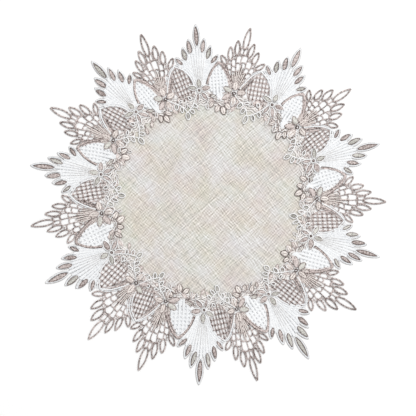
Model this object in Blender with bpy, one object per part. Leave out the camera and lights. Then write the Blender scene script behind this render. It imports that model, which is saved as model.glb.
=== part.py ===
"""Lace doily, lying flat: a round linen panel, and one embroidered lace border lapped over its edge.

Run with: blender --background --python part.py
Metres, +Z up, the underside at z = 0 and the middle of the outline over the origin. The border is
drawn as an even ring of nineteen points, in millimetres, and then laid by lay(), which gives each
point its own bearing and reach, as the cloth really lies.
"""

import math
from collections import namedtuple

import bmesh
import bpy

MM = 0.001

# Heights of the flat layers
PANEL_TOP = 1.0
NET_TOP = 1.2
LATTICE_TOP = 1.5
WORK_TOP = 1.8
LAP_TOP = 2.3
FLOWER_TOP = 2.6
WORK_BOTTOM = 0.6  # raised work starts inside the net
LAP_BOTTOM = 1.3  # 0.3 mm over the panel

# Radii of the even ring
TIP_R = 200.0
FOOT_R = 124.5
SEAM_R = 155.0  # the notch between two neighbouring points
PANEL_R = 112.0
POCKET_R = 112.4
BAND_R = 118.5  # the thick band ends here
LAP_R = 107.5  # the band's inner edge under a flower
LAP_SCALLOP = 12.5  # how much further in the sprays of leaves reach
LEAF_TIP = 2.2  # how far each leaf of a spray stands out of that edge
LEAVES_IN_SPRAY = 3
CORD = 1.4  # the satin cord around an open petal
NET_CORD = 1.1

Point = namedtuple("Point", "kind tip_bearing tip_reach foot_bearing foot_reach")
# The points clockwise from the top, with bearings in degrees. The two open ones that meet are where
# the trim is joined into a ring.
POINTS = (
    Point("solid", -4.1, 199.5, -4.4, 127.0),
    Point("open", 13.4, 200.5, 12.8, 128.0),
    Point("solid", 30.7, 200.5, 33.0, 131.5),
    Point("open", 51.1, 203.0, 49.0, 132.5),
    Point("solid", 70.7, 200.5, 67.8, 126.5),
    Point("open", 89.2, 197.0, 87.2, 122.5),
    Point("solid", 107.2, 198.0, 107.6, 119.5),
    Point("open", 125.5, 201.5, 127.0, 124.0),
    Point("solid", 147.0, 204.0, 146.5, 120.5),
    Point("open", 164.4, 203.0, 164.7, 122.5),
    Point("solid", 183.1, 200.0, 182.5, 118.0),
    Point("open", 202.8, 200.0, 203.6, 119.5),
    Point("open", 221.6, 200.5, 222.3, 120.5),
    Point("solid", 244.1, 200.0, 243.7, 120.5),
    Point("open", 263.0, 198.0, 265.0, 120.5),
    Point("solid", 282.3, 201.0, 285.8, 124.0),
    Point("open", 301.3, 205.0, 303.7, 129.0),
    Point("solid", 320.7, 204.0, 322.1, 130.5),
    Point("open", 338.3, 202.5, 337.6, 127.5),
)
PITCH = 360 / len(POINTS)

Petal = namedtuple("Petal", "base_x base_y tip_x tip_y width joined")
# The middle petal and the three to its right, x across the point and y out from the centre. joined is
# how far along its inner edge a petal still touches the one before it.
PETALS = {
    "solid": (
        Petal(0.0, 172.5, 0.0, 200.0, 7.8, 0.0),
        Petal(5.8, 164.5, 9.8, 183.0, 7.0, 0.0),
        Petal(12.0, 156.5, 16.7, 174.0, 6.8, 0.0),
        Petal(16.2, 151.3, 25.4, 162.0, 6.2, 0.0),
    ),
    "open": (
        Petal(0.0, 172.5, 0.0, 200.0, 7.8, 0.0),
        Petal(6.8, 165.0, 9.7, 183.3, 7.4, 0.0),
        Petal(12.6, 158.0, 16.9, 174.3, 7.2, 0.5),
        Petal(16.4, 152.4, 26.0, 162.3, 6.4, 0.5),
    ),
}
PETAL_SHARES = (0.40, 0.72)  # where along a petal its outline has a point on each side
Place = namedtuple("Place", "x y")
# Where the edge dips between those petals
DIPS = {
    "solid": (Place(3.4, 176.0), Place(9.9, 167.0), Place(16.2, 158.6)),
    "open": (Place(3.6, 177.6), Place(10.8, 169.2), Place(18.2, 160.6)),
}

# The net of an open point: ribs that spread from its foot to its petals, with their angle in degrees
# and length in mm, the middle one first, and the share of the length where the outer cells lie
NET_APEX = 118.0
Rib = namedtuple("Rib", "angle length")
RIBS = (Rib(0.0, 54.5), Rib(8.2, 47.5), Rib(17.2, 41.9), Rib(25.4, 37.8), Rib(31.5, 36.5))
OUTER_CELL = (0.79, 0.97)

# Leaves between the points, as shares of a pitch either side of the middle, and radii
Edge = namedtuple("Edge", "share radius")
WHITE_LEAF_ARCH = (
    Edge(-0.295, 131.0),
    Edge(-0.24, 140.0),
    Edge(-0.17, 147.2),
    Edge(-0.085, 152.6),
    Edge(0.0, 154.8),
    Edge(0.085, 152.8),
    Edge(0.17, 147.6),
    Edge(0.245, 140.5),
    Edge(0.31, 132.0),
)
ARCH_CORD = 2.2
LATTICE_LEAF = (
    Edge(-0.02, 151.5),
    Edge(-0.11, 147.0),
    Edge(-0.185, 139.5),
    Edge(-0.24, 130.0),
    Edge(-0.20, 121.5),
    Edge(0.03, 116.5),
    Edge(0.25, 119.5),
    Edge(0.33, 127.0),
    Edge(0.30, 136.0),
    Edge(0.205, 143.5),
    Edge(0.08, 149.5),
)

FLOWER_PETALS = 5
FLOWER_R = 13.0
FLOWER_WAIST = 6.5


def mix(low, high, share):
    return low + (high - low) * share


def bearing_point(bearing, radius):
    turn = math.radians(bearing)
    return radius * math.sin(turn), radius * math.cos(turn)


def lay_unshifted(place, radius):
    """The real position of a point of the even ring. place counts the points clockwise."""
    turns, index = divmod(math.floor(place), len(POINTS))
    share = place - math.floor(place)
    here = POINTS[index]
    after = POINTS[(index + 1) % len(POINTS)]
    wrap = 360.0 if index + 1 == len(POINTS) else 0.0
    outward = min(max((radius - FOOT_R) / (TIP_R - FOOT_R), 0.0), 1.0)
    foot = mix(here.foot_bearing, after.foot_bearing + wrap, share)
    tip = mix(here.tip_bearing, after.tip_bearing + wrap, share)
    foot_shift = mix(here.foot_reach, after.foot_reach, share) - FOOT_R
    tip_shift = mix(here.tip_reach, after.tip_reach, share) - TIP_R
    shift = mix(foot_shift, tip_shift, outward) * min(radius / FOOT_R, 1.0)
    return bearing_point(mix(foot, tip, outward) + 360.0 * turns, radius + shift)


def middle_of_tips():
    tips = [lay_unshifted(place, TIP_R) for place in range(len(POINTS))]
    xs = [x for x, _ in tips]
    ys = [y for _, y in tips]
    return (min(xs) + max(xs)) / 2, (min(ys) + max(ys)) / 2


MIDDLE = middle_of_tips()


def lay(place, radius):
    x, y = lay_unshifted(place, radius)
    return x - MIDDLE[0], y - MIDDLE[1]


def lay_local(index, x, y):
    """A point given across and along the axis of one point of the border."""
    return lay(index + math.degrees(math.atan2(x, y)) / PITCH, math.hypot(x, y))


def petal_edge(petal, along, side, inset=0.0):
    """A point on one long edge of a petal, which is widest two fifths of the way along."""
    length = math.hypot(petal.tip_x - petal.base_x, petal.tip_y - petal.base_y)
    across_x = (petal.tip_y - petal.base_y) / length
    across_y = -(petal.tip_x - petal.base_x) / length
    half = petal.width / 2 * math.sin(math.pi * along**0.75) ** 0.85 - inset
    x = mix(petal.base_x, petal.tip_x, along) + side * half * across_x
    y = mix(petal.base_y, petal.tip_y, along) + side * half * across_y
    return x, y


def mirrored(petal):
    return petal._replace(base_x=-petal.base_x, tip_x=-petal.tip_x)


def petals_across(kind):
    """A point's seven petals, from left to right."""
    middle, *right = PETALS[kind]
    return [*(mirrored(petal) for petal in reversed(right)), middle, *right]


def edge_of_point(index, kind):
    """The outer edge of one point of the border, left to right, from its left notch on."""
    dips = [Place(-dip.x, dip.y) for dip in reversed(DIPS[kind])] + list(DIPS[kind])
    edge = [lay(index - 0.5, SEAM_R)]
    for number, petal in enumerate(petals_across(kind)):
        inner_side = -1 if petal.tip_x > 0 else 1
        joined = {inner_side: petal.joined, -inner_side: 0.0}
        outline = [petal_edge(petal, along, -1) for along in PETAL_SHARES if along > joined[-1]]
        outline.append((petal.tip_x, petal.tip_y))
        outline += [petal_edge(petal, along, 1) for along in reversed(PETAL_SHARES) if along > joined[1]]
        edge += [lay_local(index, x, y) for x, y in outline]
        if number < len(dips):
            edge.append(lay_local(index, *dips[number]))
    return edge


def petal_loop(index, petal, inset, start, end):
    """A closed lens inside a petal's outline."""
    loop = [petal_edge(petal, start, 0)]
    loop += [petal_edge(petal, along, -1, inset) for along in (0.30, 0.66)]
    loop.append(petal_edge(petal, end, 0))
    loop += [petal_edge(petal, along, 1, inset) for along in (0.66, 0.30)]
    return [lay_local(index, x, y) for x, y in loop]


def net_cell(index, near, far):
    """The outer cell between two ribs of the net, less its cords, with its outer corners cut."""
    low, high = (share * (near.length + far.length) / 2 for share in OUTER_CELL)
    shoulder = mix(low, high, 0.7)
    middle = math.radians((near.angle + far.angle) / 2)
    spread = math.radians(abs(far.angle - near.angle) / 2)
    loop = []
    for out, side in ((low, -1), (low, 1), (shoulder, 1), (high, 0), (shoulder, -1)):
        across = side * (out * math.tan(spread) - NET_CORD / 2)
        x = out * math.sin(middle) + across * math.cos(middle)
        y = out * math.cos(middle) - across * math.sin(middle)
        loop.append(lay_local(index, x, NET_APEX + y))
    return loop


def net_cells(index):
    right = list(zip(RIBS, RIBS[1:]))
    left = [(near._replace(angle=-near.angle), far._replace(angle=-far.angle)) for near, far in right]
    return [net_cell(index, near, far) for near, far in left + right]


def inner_edge():
    """The leafy inner edge of the lap: a scallop between each two flowers, with a tip for each leaf."""
    steps_in_pitch = LEAVES_IN_SPRAY * 2
    loop = []
    for step in range(len(POINTS) * steps_in_pitch):
        place = step / steps_in_pitch
        scallop = LAP_SCALLOP * math.sin(math.pi * (place % 1)) ** 1.1
        tooth = LEAF_TIP if step % 2 else 0.0
        loop.append(lay(place, LAP_R - scallop - tooth))
    return loop


def round_loop(radius):
    steps_in_pitch = 2
    return [lay(step / steps_in_pitch, radius) for step in range(len(POINTS) * steps_in_pitch)]


def arch_loop(place):
    """The cord over a white leaf, down both of its sides."""
    outer = [lay(place + edge.share, edge.radius) for edge in WHITE_LEAF_ARCH]
    foot_x, foot_y = lay(place, FOOT_R)
    inner = []
    for x, y in reversed(outer):
        inset = ARCH_CORD / math.hypot(x - foot_x, y - foot_y)
        inner.append((mix(x, foot_x, inset), mix(y, foot_y, inset)))
    return outer + inner


def lattice_loop(place):
    return [lay(place + edge.share, edge.radius) for edge in LATTICE_LEAF]


def flower_loop(index):
    loop = []
    for step in range(FLOWER_PETALS * 2):
        turn = math.pi * step / FLOWER_PETALS
        radius = FLOWER_WAIST if step % 2 else FLOWER_R
        loop.append(lay_local(index, radius * math.sin(turn), FOOT_R + radius * math.cos(turn)))
    return loop


def flat_solid(name, loops, bottom, top, collection):
    """A plate between two heights. A loop inside another is a hole, and separate ones are separate plates."""
    curve = bpy.data.curves.new(name, "CURVE")
    curve.dimensions = "2D"
    curve.fill_mode = "BOTH"
    curve.extrude = (top - bottom) / 2 * MM
    for loop in loops:
        spline = curve.splines.new("POLY")
        spline.points.add(len(loop) - 1)
        for point, (x, y) in zip(spline.points, loop):
            point.co = (x * MM, y * MM, 0.0, 1.0)
        spline.use_cyclic_u = True
    outline = bpy.data.objects.new(name + "_outline", curve)
    outline.location.z = (bottom + top) / 2 * MM
    collection.objects.link(outline)
    bpy.context.view_layer.update()
    graph = bpy.context.evaluated_depsgraph_get()
    mesh = bpy.data.meshes.new_from_object(outline.evaluated_get(graph))
    mesh.name = name
    shape = bmesh.new()
    shape.from_mesh(mesh)
    bmesh.ops.remove_doubles(shape, verts=shape.verts, dist=0.00001)
    shape.to_mesh(mesh)
    shape.free()
    solid = bpy.data.objects.new(name, mesh)
    solid.matrix_world = outline.matrix_world.copy()
    collection.objects.link(solid)
    bpy.data.objects.remove(outline)
    bpy.data.curves.remove(curve)
    return solid


def helper(solid):
    solid.hide_render = True
    solid.display_type = "WIRE"
    return solid


def combine(target, tool, operation):
    modifier = target.modifiers.new(f"{operation.lower()} {tool.name}", "BOOLEAN")
    modifier.operation = operation
    modifier.solver = "EXACT"
    modifier.object = helper(tool)


def cloth_material(name, colour, roughness):
    material = bpy.data.materials.new(name)
    material.use_nodes = True
    shader = material.node_tree.nodes["Principled BSDF"]
    shader.inputs["Base Color"].default_value = (*colour, 1.0)
    shader.inputs["Roughness"].default_value = roughness
    shader.inputs["Metallic"].default_value = 0.0
    return material


def make_centre_panel(collection):
    """The round of linen, its raw edge hidden under the border."""
    panel = flat_solid("centre_panel", [round_loop(PANEL_R)], 0.0, PANEL_TOP, collection)
    panel.data.materials.append(cloth_material("linen", (0.72, 0.68, 0.63), 0.9))
    return panel


def make_lace_border(collection, cutters):
    """The lace trim, one piece all round: nets, satin petals, leaves, flowers and the lap."""
    named = list(enumerate(point.kind for point in POINTS))
    edge = []
    holes = []
    pads = []
    for index, kind in named:
        edge += edge_of_point(index, kind)
        if kind == "open":
            holes += [petal_loop(index, petal, CORD, 0.10, 0.90) for petal in petals_across(kind)]
            holes += net_cells(index)
        else:
            pads += [petal_loop(index, petal, CORD / 2, 0.06, 0.94) for petal in petals_across(kind)]
    arches = [arch_loop(index + 0.5) for index, kind in named if kind == "solid"]
    lattices = [lattice_loop(index + 0.5) for index, kind in named if kind == "open"]
    flowers = [flower_loop(index) for index, _ in named]

    lace = flat_solid("lace_border", [edge, round_loop(PANEL_R - 2.0), *holes], 0.0, NET_TOP, collection)
    raised = (
        ("satin_pads", pads, WORK_TOP),
        ("lattice_leaves", lattices, LATTICE_TOP),
        ("arch_cords", arches, WORK_TOP),
        ("lap_band", [round_loop(BAND_R), inner_edge()], LAP_TOP),
        ("flowers", flowers, FLOWER_TOP),
    )
    for name, loops, top in raised:
        combine(lace, flat_solid(name, loops, WORK_BOTTOM, top, cutters), "UNION")
    pocket = flat_solid("panel_pocket", [round_loop(POCKET_R)], -1.0, LAP_BOTTOM, cutters)
    combine(lace, pocket, "DIFFERENCE")
    lace.data.materials.append(cloth_material("lace thread", (0.62, 0.56, 0.53), 0.75))
    return lace


for leftover in list(bpy.data.objects):
    bpy.data.objects.remove(leftover)
doily = bpy.data.collections.new("lace_doily")
tools = bpy.data.collections.new("raised_work_and_cutters")
bpy.context.scene.collection.children.link(doily)
bpy.context.scene.collection.children.link(tools)
make_centre_panel(doily)
make_lace_border(doily, tools)
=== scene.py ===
"""Looks of the lace doily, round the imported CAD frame: a linen panel and its embroidered border.

Metres, +Z up. The border is charted in millimetres on an even ring of nineteen points, x across a
point and y out from the centre, and laid by lay(), as the CAD is.
"""

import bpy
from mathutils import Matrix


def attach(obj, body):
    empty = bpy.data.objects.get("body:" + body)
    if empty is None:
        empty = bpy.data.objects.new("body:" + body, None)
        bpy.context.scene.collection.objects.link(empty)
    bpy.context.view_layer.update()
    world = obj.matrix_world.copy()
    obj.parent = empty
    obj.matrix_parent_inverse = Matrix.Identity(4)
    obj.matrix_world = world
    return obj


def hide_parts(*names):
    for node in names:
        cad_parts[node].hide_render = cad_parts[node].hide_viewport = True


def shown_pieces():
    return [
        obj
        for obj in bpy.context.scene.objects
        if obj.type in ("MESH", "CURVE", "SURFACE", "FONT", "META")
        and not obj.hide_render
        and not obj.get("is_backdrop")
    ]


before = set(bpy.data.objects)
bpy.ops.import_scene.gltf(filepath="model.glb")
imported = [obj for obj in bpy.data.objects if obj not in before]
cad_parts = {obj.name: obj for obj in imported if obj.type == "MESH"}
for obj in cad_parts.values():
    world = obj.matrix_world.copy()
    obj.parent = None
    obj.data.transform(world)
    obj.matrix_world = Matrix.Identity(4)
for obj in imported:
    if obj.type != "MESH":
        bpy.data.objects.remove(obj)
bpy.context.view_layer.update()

import itertools
import math
import random
from collections import namedtuple

import bmesh
import bpy

# --- Camera -----------------------------------------------------------------------------------------
# The photograph looks straight down with a long lens. Its frame is 459.7 mm wide at the table, and
# the middle of the doily lies a little above the middle of the frame.

MM = 0.001
FRAME_WIDTH = 459.7
FRAME_MIDDLE = (-0.63, -3.91)
CAMERA_HEIGHT = 1800.0
SENSOR_WIDTH = 36.0

camera_data = bpy.data.cameras.new("camera")
camera_data.sensor_width = SENSOR_WIDTH
camera_data.lens = SENSOR_WIDTH * CAMERA_HEIGHT / FRAME_WIDTH
camera_data.clip_end = 20.0
camera = bpy.data.objects.new("camera", camera_data)
camera.location = (FRAME_MIDDLE[0] * MM, FRAME_MIDDLE[1] * MM, CAMERA_HEIGHT * MM)
bpy.context.scene.collection.objects.link(camera)
bpy.context.scene.camera = camera

# --- Table top --------------------------------------------------------------------------------------
# The doily lies on a plain white board, which the light washes out so that nothing of it shows round
# the lace. It reaches far past the picture.

FLOOR_SIZE = 8.0


def linear(code):
    """An sRGB hex colour as the linear RGBA that a shader takes."""
    channels = [int(code[start : start + 2], 16) / 255 for start in (0, 2, 4)]
    return (*((c / 12.92 if c <= 0.04045 else ((c + 0.055) / 1.055) ** 2.4) for c in channels), 1.0)


def add_node(tree, kind, links=(), **settings):
    """A node with its settings, and links from sockets or values on its inputs, by name or number."""
    node = tree.nodes.new(kind)
    for name, value in settings.items():
        setattr(node, name, value)
    for name, value in dict(links).items():
        if isinstance(value, bpy.types.NodeSocket):
            tree.links.new(value, node.inputs[name])
        else:
            node.inputs[name].default_value = value
    return node


# Matt white board: even, with no grain that shows
board = bpy.data.materials.new("matt_white_board")
board.use_nodes = True
shader = board.node_tree.nodes["Principled BSDF"]
shader.inputs["Base Color"].default_value = linear("f8f8f8")
shader.inputs["Roughness"].default_value = 0.9
shader.inputs["Specular IOR Level"].default_value = 0.2

floor_shape = bmesh.new()
bmesh.ops.create_grid(floor_shape, x_segments=1, y_segments=1, size=FLOOR_SIZE / 2)
floor_mesh = bpy.data.meshes.new("table_top")
floor_shape.to_mesh(floor_mesh)
floor_shape.free()
floor_mesh.materials.append(board)
floor = bpy.data.objects.new("table_top", floor_mesh)
bpy.context.scene.collection.objects.link(floor)
floor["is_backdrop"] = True

# --- Light ------------------------------------------------------------------------------------------
# Plain soft studio light: an even white surround, and one large soft lamp from the upper right, which
# gives the cords their faint shadows.

SURROUND_STRENGTH = 0.76
LAMP_PLACE = (2.0, 2.25, 2.75)
LAMP_SIZE = 1.25
LAMP_WATTS = 90.6

world = bpy.data.worlds.new("studio")
world.use_nodes = True
surround = world.node_tree.nodes["Background"]
surround.inputs["Color"].default_value = linear("ffffff")
surround.inputs["Strength"].default_value = SURROUND_STRENGTH
bpy.context.scene.world = world

lamp_data = bpy.data.lights.new("soft_lamp", "AREA")
lamp_data.shape = "DISK"
lamp_data.size = LAMP_SIZE
lamp_data.energy = LAMP_WATTS
lamp = bpy.data.objects.new("soft_lamp", lamp_data)
lamp.location = LAMP_PLACE
lamp.rotation_mode = "QUATERNION"
lamp.rotation_quaternion = lamp.location.to_track_quat("Z", "Y")
bpy.context.scene.collection.objects.link(lamp)

bpy.context.scene.view_settings.view_transform = "Standard"
bpy.context.scene.view_settings.look = "None"

# --- How the border lies ----------------------------------------------------------------------------
# The border is one strip of nineteen embroidered points sewn into a ring round the linen. No two
# points lie quite alike, and two open ones meet where the strip is joined.

TIP_R = 200.0
FOOT_R = 124.5

Point = namedtuple("Point", "kind tip_bearing tip_reach foot_bearing foot_reach")
# Clockwise from the top, bearings in degrees and reaches in mm, the same as in the CAD
POINTS = (
    Point("solid", -4.1, 199.5, -4.4, 127.0),
    Point("open", 13.4, 200.5, 12.8, 128.0),
    Point("solid", 30.7, 200.5, 33.0, 131.5),
    Point("open", 51.1, 203.0, 49.0, 132.5),
    Point("solid", 70.7, 200.5, 67.8, 126.5),
    Point("open", 89.2, 197.0, 87.2, 122.5),
    Point("solid", 107.2, 198.0, 107.6, 119.5),
    Point("open", 125.5, 201.5, 127.0, 124.0),
    Point("solid", 147.0, 204.0, 146.5, 120.5),
    Point("open", 164.4, 203.0, 164.7, 122.5),
    Point("solid", 183.1, 200.0, 182.5, 118.0),
    Point("open", 202.8, 200.0, 203.6, 119.5),
    Point("open", 221.6, 200.5, 222.3, 120.5),
    Point("solid", 244.1, 200.0, 243.7, 120.5),
    Point("open", 263.0, 198.0, 265.0, 120.5),
    Point("solid", 282.3, 201.0, 285.8, 124.0),
    Point("open", 301.3, 205.0, 303.7, 129.0),
    Point("solid", 320.7, 204.0, 322.1, 130.5),
    Point("open", 338.3, 202.5, 337.6, 127.5),
)
PITCH = 360 / len(POINTS)
SOLID_POINTS = [index for index, point in enumerate(POINTS) if point.kind == "solid"]
OPEN_POINTS = [index for index, point in enumerate(POINTS) if point.kind == "open"]


def mix(low, high, share):
    return low + (high - low) * share


def lay_unshifted(place, radius):
    """The real position of a point of the even ring. place counts the points clockwise."""
    turns, index = divmod(math.floor(place), len(POINTS))
    share = place - math.floor(place)
    here = POINTS[index]
    after = POINTS[(index + 1) % len(POINTS)]
    wrap = 360.0 if index + 1 == len(POINTS) else 0.0
    outward = min(max((radius - FOOT_R) / (TIP_R - FOOT_R), 0.0), 1.0)
    foot = mix(here.foot_bearing, after.foot_bearing + wrap, share)
    tip = mix(here.tip_bearing, after.tip_bearing + wrap, share)
    foot_shift = mix(here.foot_reach, after.foot_reach, share) - FOOT_R
    tip_shift = mix(here.tip_reach, after.tip_reach, share) - TIP_R
    reach = radius + mix(foot_shift, tip_shift, outward) * min(radius / FOOT_R, 1.0)
    turn = math.radians(mix(foot, tip, outward) + 360.0 * turns)
    return reach * math.sin(turn), reach * math.cos(turn)


tip_places = [lay_unshifted(place, TIP_R) for place in range(len(POINTS))]
MIDDLE = tuple((min(side) + max(side)) / 2 for side in zip(*tip_places))


def lay(place, radius):
    x, y = lay_unshifted(place, radius)
    return x - MIDDLE[0], y - MIDDLE[1]


# --- Linen panel ------------------------------------------------------------------------------------
# A round of plain-woven linen in its natural pale grey-beige, its threads on the bias of the photo.
# Its cut edge lies under the border, which is stitched through it.

PANEL_R = 112.0
EDGE_R = 111.7  # ring of the border that the cut edge follows
EDGE_STEPS = 180
STEPS_IN_PITCH = 8
THREAD_PITCH = 2.4
THREAD_ANGLE = math.radians(44)
PANEL_BASE = 0.35  # the underside of the relief, over which the threads stand
PANEL_FACE = 0.86  # mean height of the upper face
WEAVE_RISE = 0.16
SLOPE_LEVEL = -0.2  # where one thread passes into the next, as a share of the rise
SLUB_SWELLS = (0.6, 1.3)  # thinnest and thickest part of a thread, as a share of the rise
GRID_REACH = 1.15  # the grid that the panel is cut from, as a share of its radius


def edge_table(radius, steps):
    """Reach of a ring of the border for evenly spaced bearings, worked out from lay_unshifted."""
    count = len(POINTS) * STEPS_IN_PITCH
    ring = [lay_unshifted(place / STEPS_IN_PITCH, radius) for place in range(count)]
    known = sorted((math.degrees(math.atan2(x, y)) % 360.0, math.hypot(x, y)) for x, y in ring)
    known = [(known[-1][0] - 360.0, known[-1][1]), *known, (known[0][0] + 360.0, known[0][1])]
    table = []
    for step in range(steps):
        bearing = step * 360.0 / steps
        for (low, low_reach), (high, high_reach) in zip(known, known[1:]):
            if low <= bearing <= high:
                table.append(mix(low_reach, high_reach, (bearing - low) / (high - low)))
                break
    return table


EDGE_BY_BEARING = edge_table(EDGE_R, EDGE_STEPS)


def edge_share(x, y):
    """How far out a place lies, as a share of the panel's reach in that direction."""
    x, y = x + MIDDLE[0], y + MIDDLE[1]
    position = math.degrees(math.atan2(x, y)) % 360.0 / 360.0 * EDGE_STEPS
    low = int(position) % EDGE_STEPS
    reach = mix(EDGE_BY_BEARING[low], EDGE_BY_BEARING[(low + 1) % EDGE_STEPS], position - int(position))
    return math.hypot(x, y) / reach


slubs = random.Random(7)
half_steps = int(PANEL_R * GRID_REACH / THREAD_PITCH) * 2
lines = range(-half_steps, half_steps + 1)
swell = {line: (slubs.uniform(*SLUB_SWELLS), slubs.uniform(*SLUB_SWELLS)) for line in lines}
panel_shape = bmesh.new()
grid = {}
for i, j in itertools.product(lines, lines):
    u = i * THREAD_PITCH / 2
    v = j * THREAD_PITCH / 2
    x = u * math.cos(THREAD_ANGLE) - v * math.sin(THREAD_ANGLE)
    y = u * math.sin(THREAD_ANGLE) + v * math.cos(THREAD_ANGLE)
    if edge_share(x, y) > 1.0:
        continue
    over = (i // 2 + j // 2) % 2
    if i % 2 == 0 and j % 2 == 0:
        rise = WEAVE_RISE * swell[i if over else j][over]
    elif i % 2 and j % 2:
        rise = -WEAVE_RISE
    else:
        rise = SLOPE_LEVEL * WEAVE_RISE
    grid[i, j] = panel_shape.verts.new((x * MM, y * MM, (PANEL_FACE + rise) * MM))
for i, j in grid:
    corners = [grid.get(key) for key in ((i, j), (i + 1, j), (i + 1, j + 1), (i, j + 1))]
    if None not in corners:
        panel_shape.faces.new(corners)
loose = [vert for vert in panel_shape.verts if not vert.link_faces]
bmesh.ops.delete(panel_shape, geom=loose, context="VERTS")
rim_edges = [edge for edge in panel_shape.edges if edge.is_boundary]
lower = {}
for vert in dict.fromkeys(vert for edge in rim_edges for vert in edge.verts):
    x, y = vert.co.x / MM, vert.co.y / MM
    stretch = 1 / edge_share(x, y)
    vert.co.x = ((x + MIDDLE[0]) * stretch - MIDDLE[0]) * MM
    vert.co.y = ((y + MIDDLE[1]) * stretch - MIDDLE[1]) * MM
    lower[vert] = panel_shape.verts.new((vert.co.x, vert.co.y, PANEL_BASE * MM))
for edge in rim_edges:
    here, there = edge.verts
    panel_shape.faces.new((here, there, lower[there], lower[here]))
bmesh.ops.holes_fill(panel_shape, edges=[edge for edge in panel_shape.edges if edge.is_boundary])
bmesh.ops.recalc_face_normals(panel_shape, faces=panel_shape.faces)
panel_mesh = bpy.data.meshes.new("linen_panel")
panel_shape.to_mesh(panel_mesh)
panel_shape.free()
panel_mesh.shade_smooth()
panel = bpy.data.objects.new("linen_panel", panel_mesh)
bpy.context.scene.collection.objects.link(panel)

# Washed linen, plain weave: matt, with uneven threads that stand out for a centimetre or so both
# ways, warmer where it is less bleached and deeper where it is worn, and with a very faint tint of
# other colours. The threads are drawn three times as far apart as they are, or they wouldn't show.
LINEN_COOL = linear("edeceb")
LINEN_WARM = linear("f3ebe0")
LINEN_DEEP = linear("aba69f")
# Pitch, length and depth of the fine threads, the thick ones and the bands that they form
ROWS = ((2.65, 5.0, 0.5), (4.2, 7.0, 0.22), (8.5, 12.0, 0.17))
WEAR_SIZE = 30.0
WEAR_DEPTH = 0.11
TINT_SIZE = 34.0
TINT_STRENGTH = 0.13

linen = bpy.data.materials.new("washed_plain_weave_linen")
linen.use_nodes = True
tree = linen.node_tree
shader = tree.nodes["Principled BSDF"]
coordinates = add_node(tree, "ShaderNodeTexCoord").outputs["Object"]
wear = add_node(
    tree,
    "ShaderNodeTexNoise",
    {"Vector": coordinates, "Scale": 1 / (WEAR_SIZE * MM), "Detail": 4.0, "Roughness": 0.6},
    noise_dimensions="2D",
).outputs["Fac"]
row_sum = add_node(
    tree,
    "ShaderNodeMapRange",
    {"Value": wear, "From Min": 0.3, "From Max": 0.7, "To Min": -WEAR_DEPTH, "To Max": WEAR_DEPTH},
).outputs["Result"]
for (pitch, length, depth), turn in itertools.product(ROWS, (0.0, math.pi / 2)):
    rows = add_node(
        tree,
        "ShaderNodeTexGabor",
        {
            "Vector": coordinates,
            "Scale": 1 / (length * MM),
            "Frequency": length / pitch,
            "Orientation": THREAD_ANGLE + turn,
        },
    ).outputs["Value"]
    centred = add_node(
        tree, "ShaderNodeMapRange", {"Value": rows, "To Min": -depth, "To Max": depth}
    ).outputs["Result"]
    row_sum = add_node(tree, "ShaderNodeMath", {0: centred, 1: row_sum}, operation="ADD").outputs[0]
row_share = add_node(tree, "ShaderNodeMapRange", {"Value": row_sum, "From Min": -0.5, "From Max": 0.5})
warm_share = add_node(tree, "ShaderNodeMapRange", {"Value": wear, "From Min": 0.35, "From Max": 0.65})
bleached = add_node(
    tree,
    "ShaderNodeMixRGB",
    {"Fac": warm_share.outputs["Result"], "Color1": LINEN_COOL, "Color2": LINEN_WARM},
)
threaded = add_node(
    tree,
    "ShaderNodeMixRGB",
    {"Fac": row_share.outputs["Result"], "Color1": bleached.outputs["Color"], "Color2": LINEN_DEEP},
)
tint = add_node(
    tree,
    "ShaderNodeTexNoise",
    {"Vector": coordinates, "Scale": 1 / (TINT_SIZE * MM), "Detail": 5.0, "Roughness": 0.6},
)
tinted = add_node(
    tree,
    "ShaderNodeMixRGB",
    {"Fac": TINT_STRENGTH, "Color1": threaded.outputs["Color"], "Color2": tint.outputs["Color"]},
    blend_type="OVERLAY",
)
slub_bump = add_node(
    tree, "ShaderNodeBump", {"Height": row_sum, "Strength": 0.4, "Distance": -0.15 * MM}
)
tree.links.new(tinted.outputs["Color"], shader.inputs["Base Color"])
tree.links.new(slub_bump.outputs["Normal"], shader.inputs["Normal"])
shader.inputs["Roughness"].default_value = 0.88
shader.inputs["Specular IOR Level"].default_value = 0.25
shader.inputs["Sheen Weight"].default_value = 0.1
panel_mesh.materials.append(linen)

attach(panel, "root")
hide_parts("centre_panel")

# --- White net fans of the solid points -------------------------------------------------------------
# Machine-embroidered lace has no cloth in it: satin-stitched cords are worked on a film that is then
# dissolved. Each solid point is a fan of white ribs from its foot, tied across by fine threads.

LINEN_LEVEL = 1.0  # the border lies on the linen inside this ring, and on the table outside the next
LAP_INNER_R = 111.5
LAP_OUTER_R = 119.0
TABLE_LEVEL = 0.1

# Half width, or one for each place of the cord, and height above what the border lies on, in mm. The
# shade goes from 0, deep, to 1, pale, and past both. It is one number, or a range to pick from.
Cord = namedtuple("Cord", "half_width lift shades")
Thread = namedtuple("Thread", "points shade closed")  # points are x, y, z and half width, all in mm

hands = random.Random(23)


def error(most):
    """A small error of the hand, either way."""
    return hands.uniform(-most, most)


def picked(shades):
    return hands.uniform(*shades) if isinstance(shades, tuple) else shades


def bed(radius):
    """Height that the border's underside lies at."""
    down = min(max((radius - LAP_INNER_R) / (LAP_OUTER_R - LAP_INNER_R), 0.0), 1.0)
    return mix(LINEN_LEVEL, TABLE_LEVEL, down * down * (3 - 2 * down))


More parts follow.
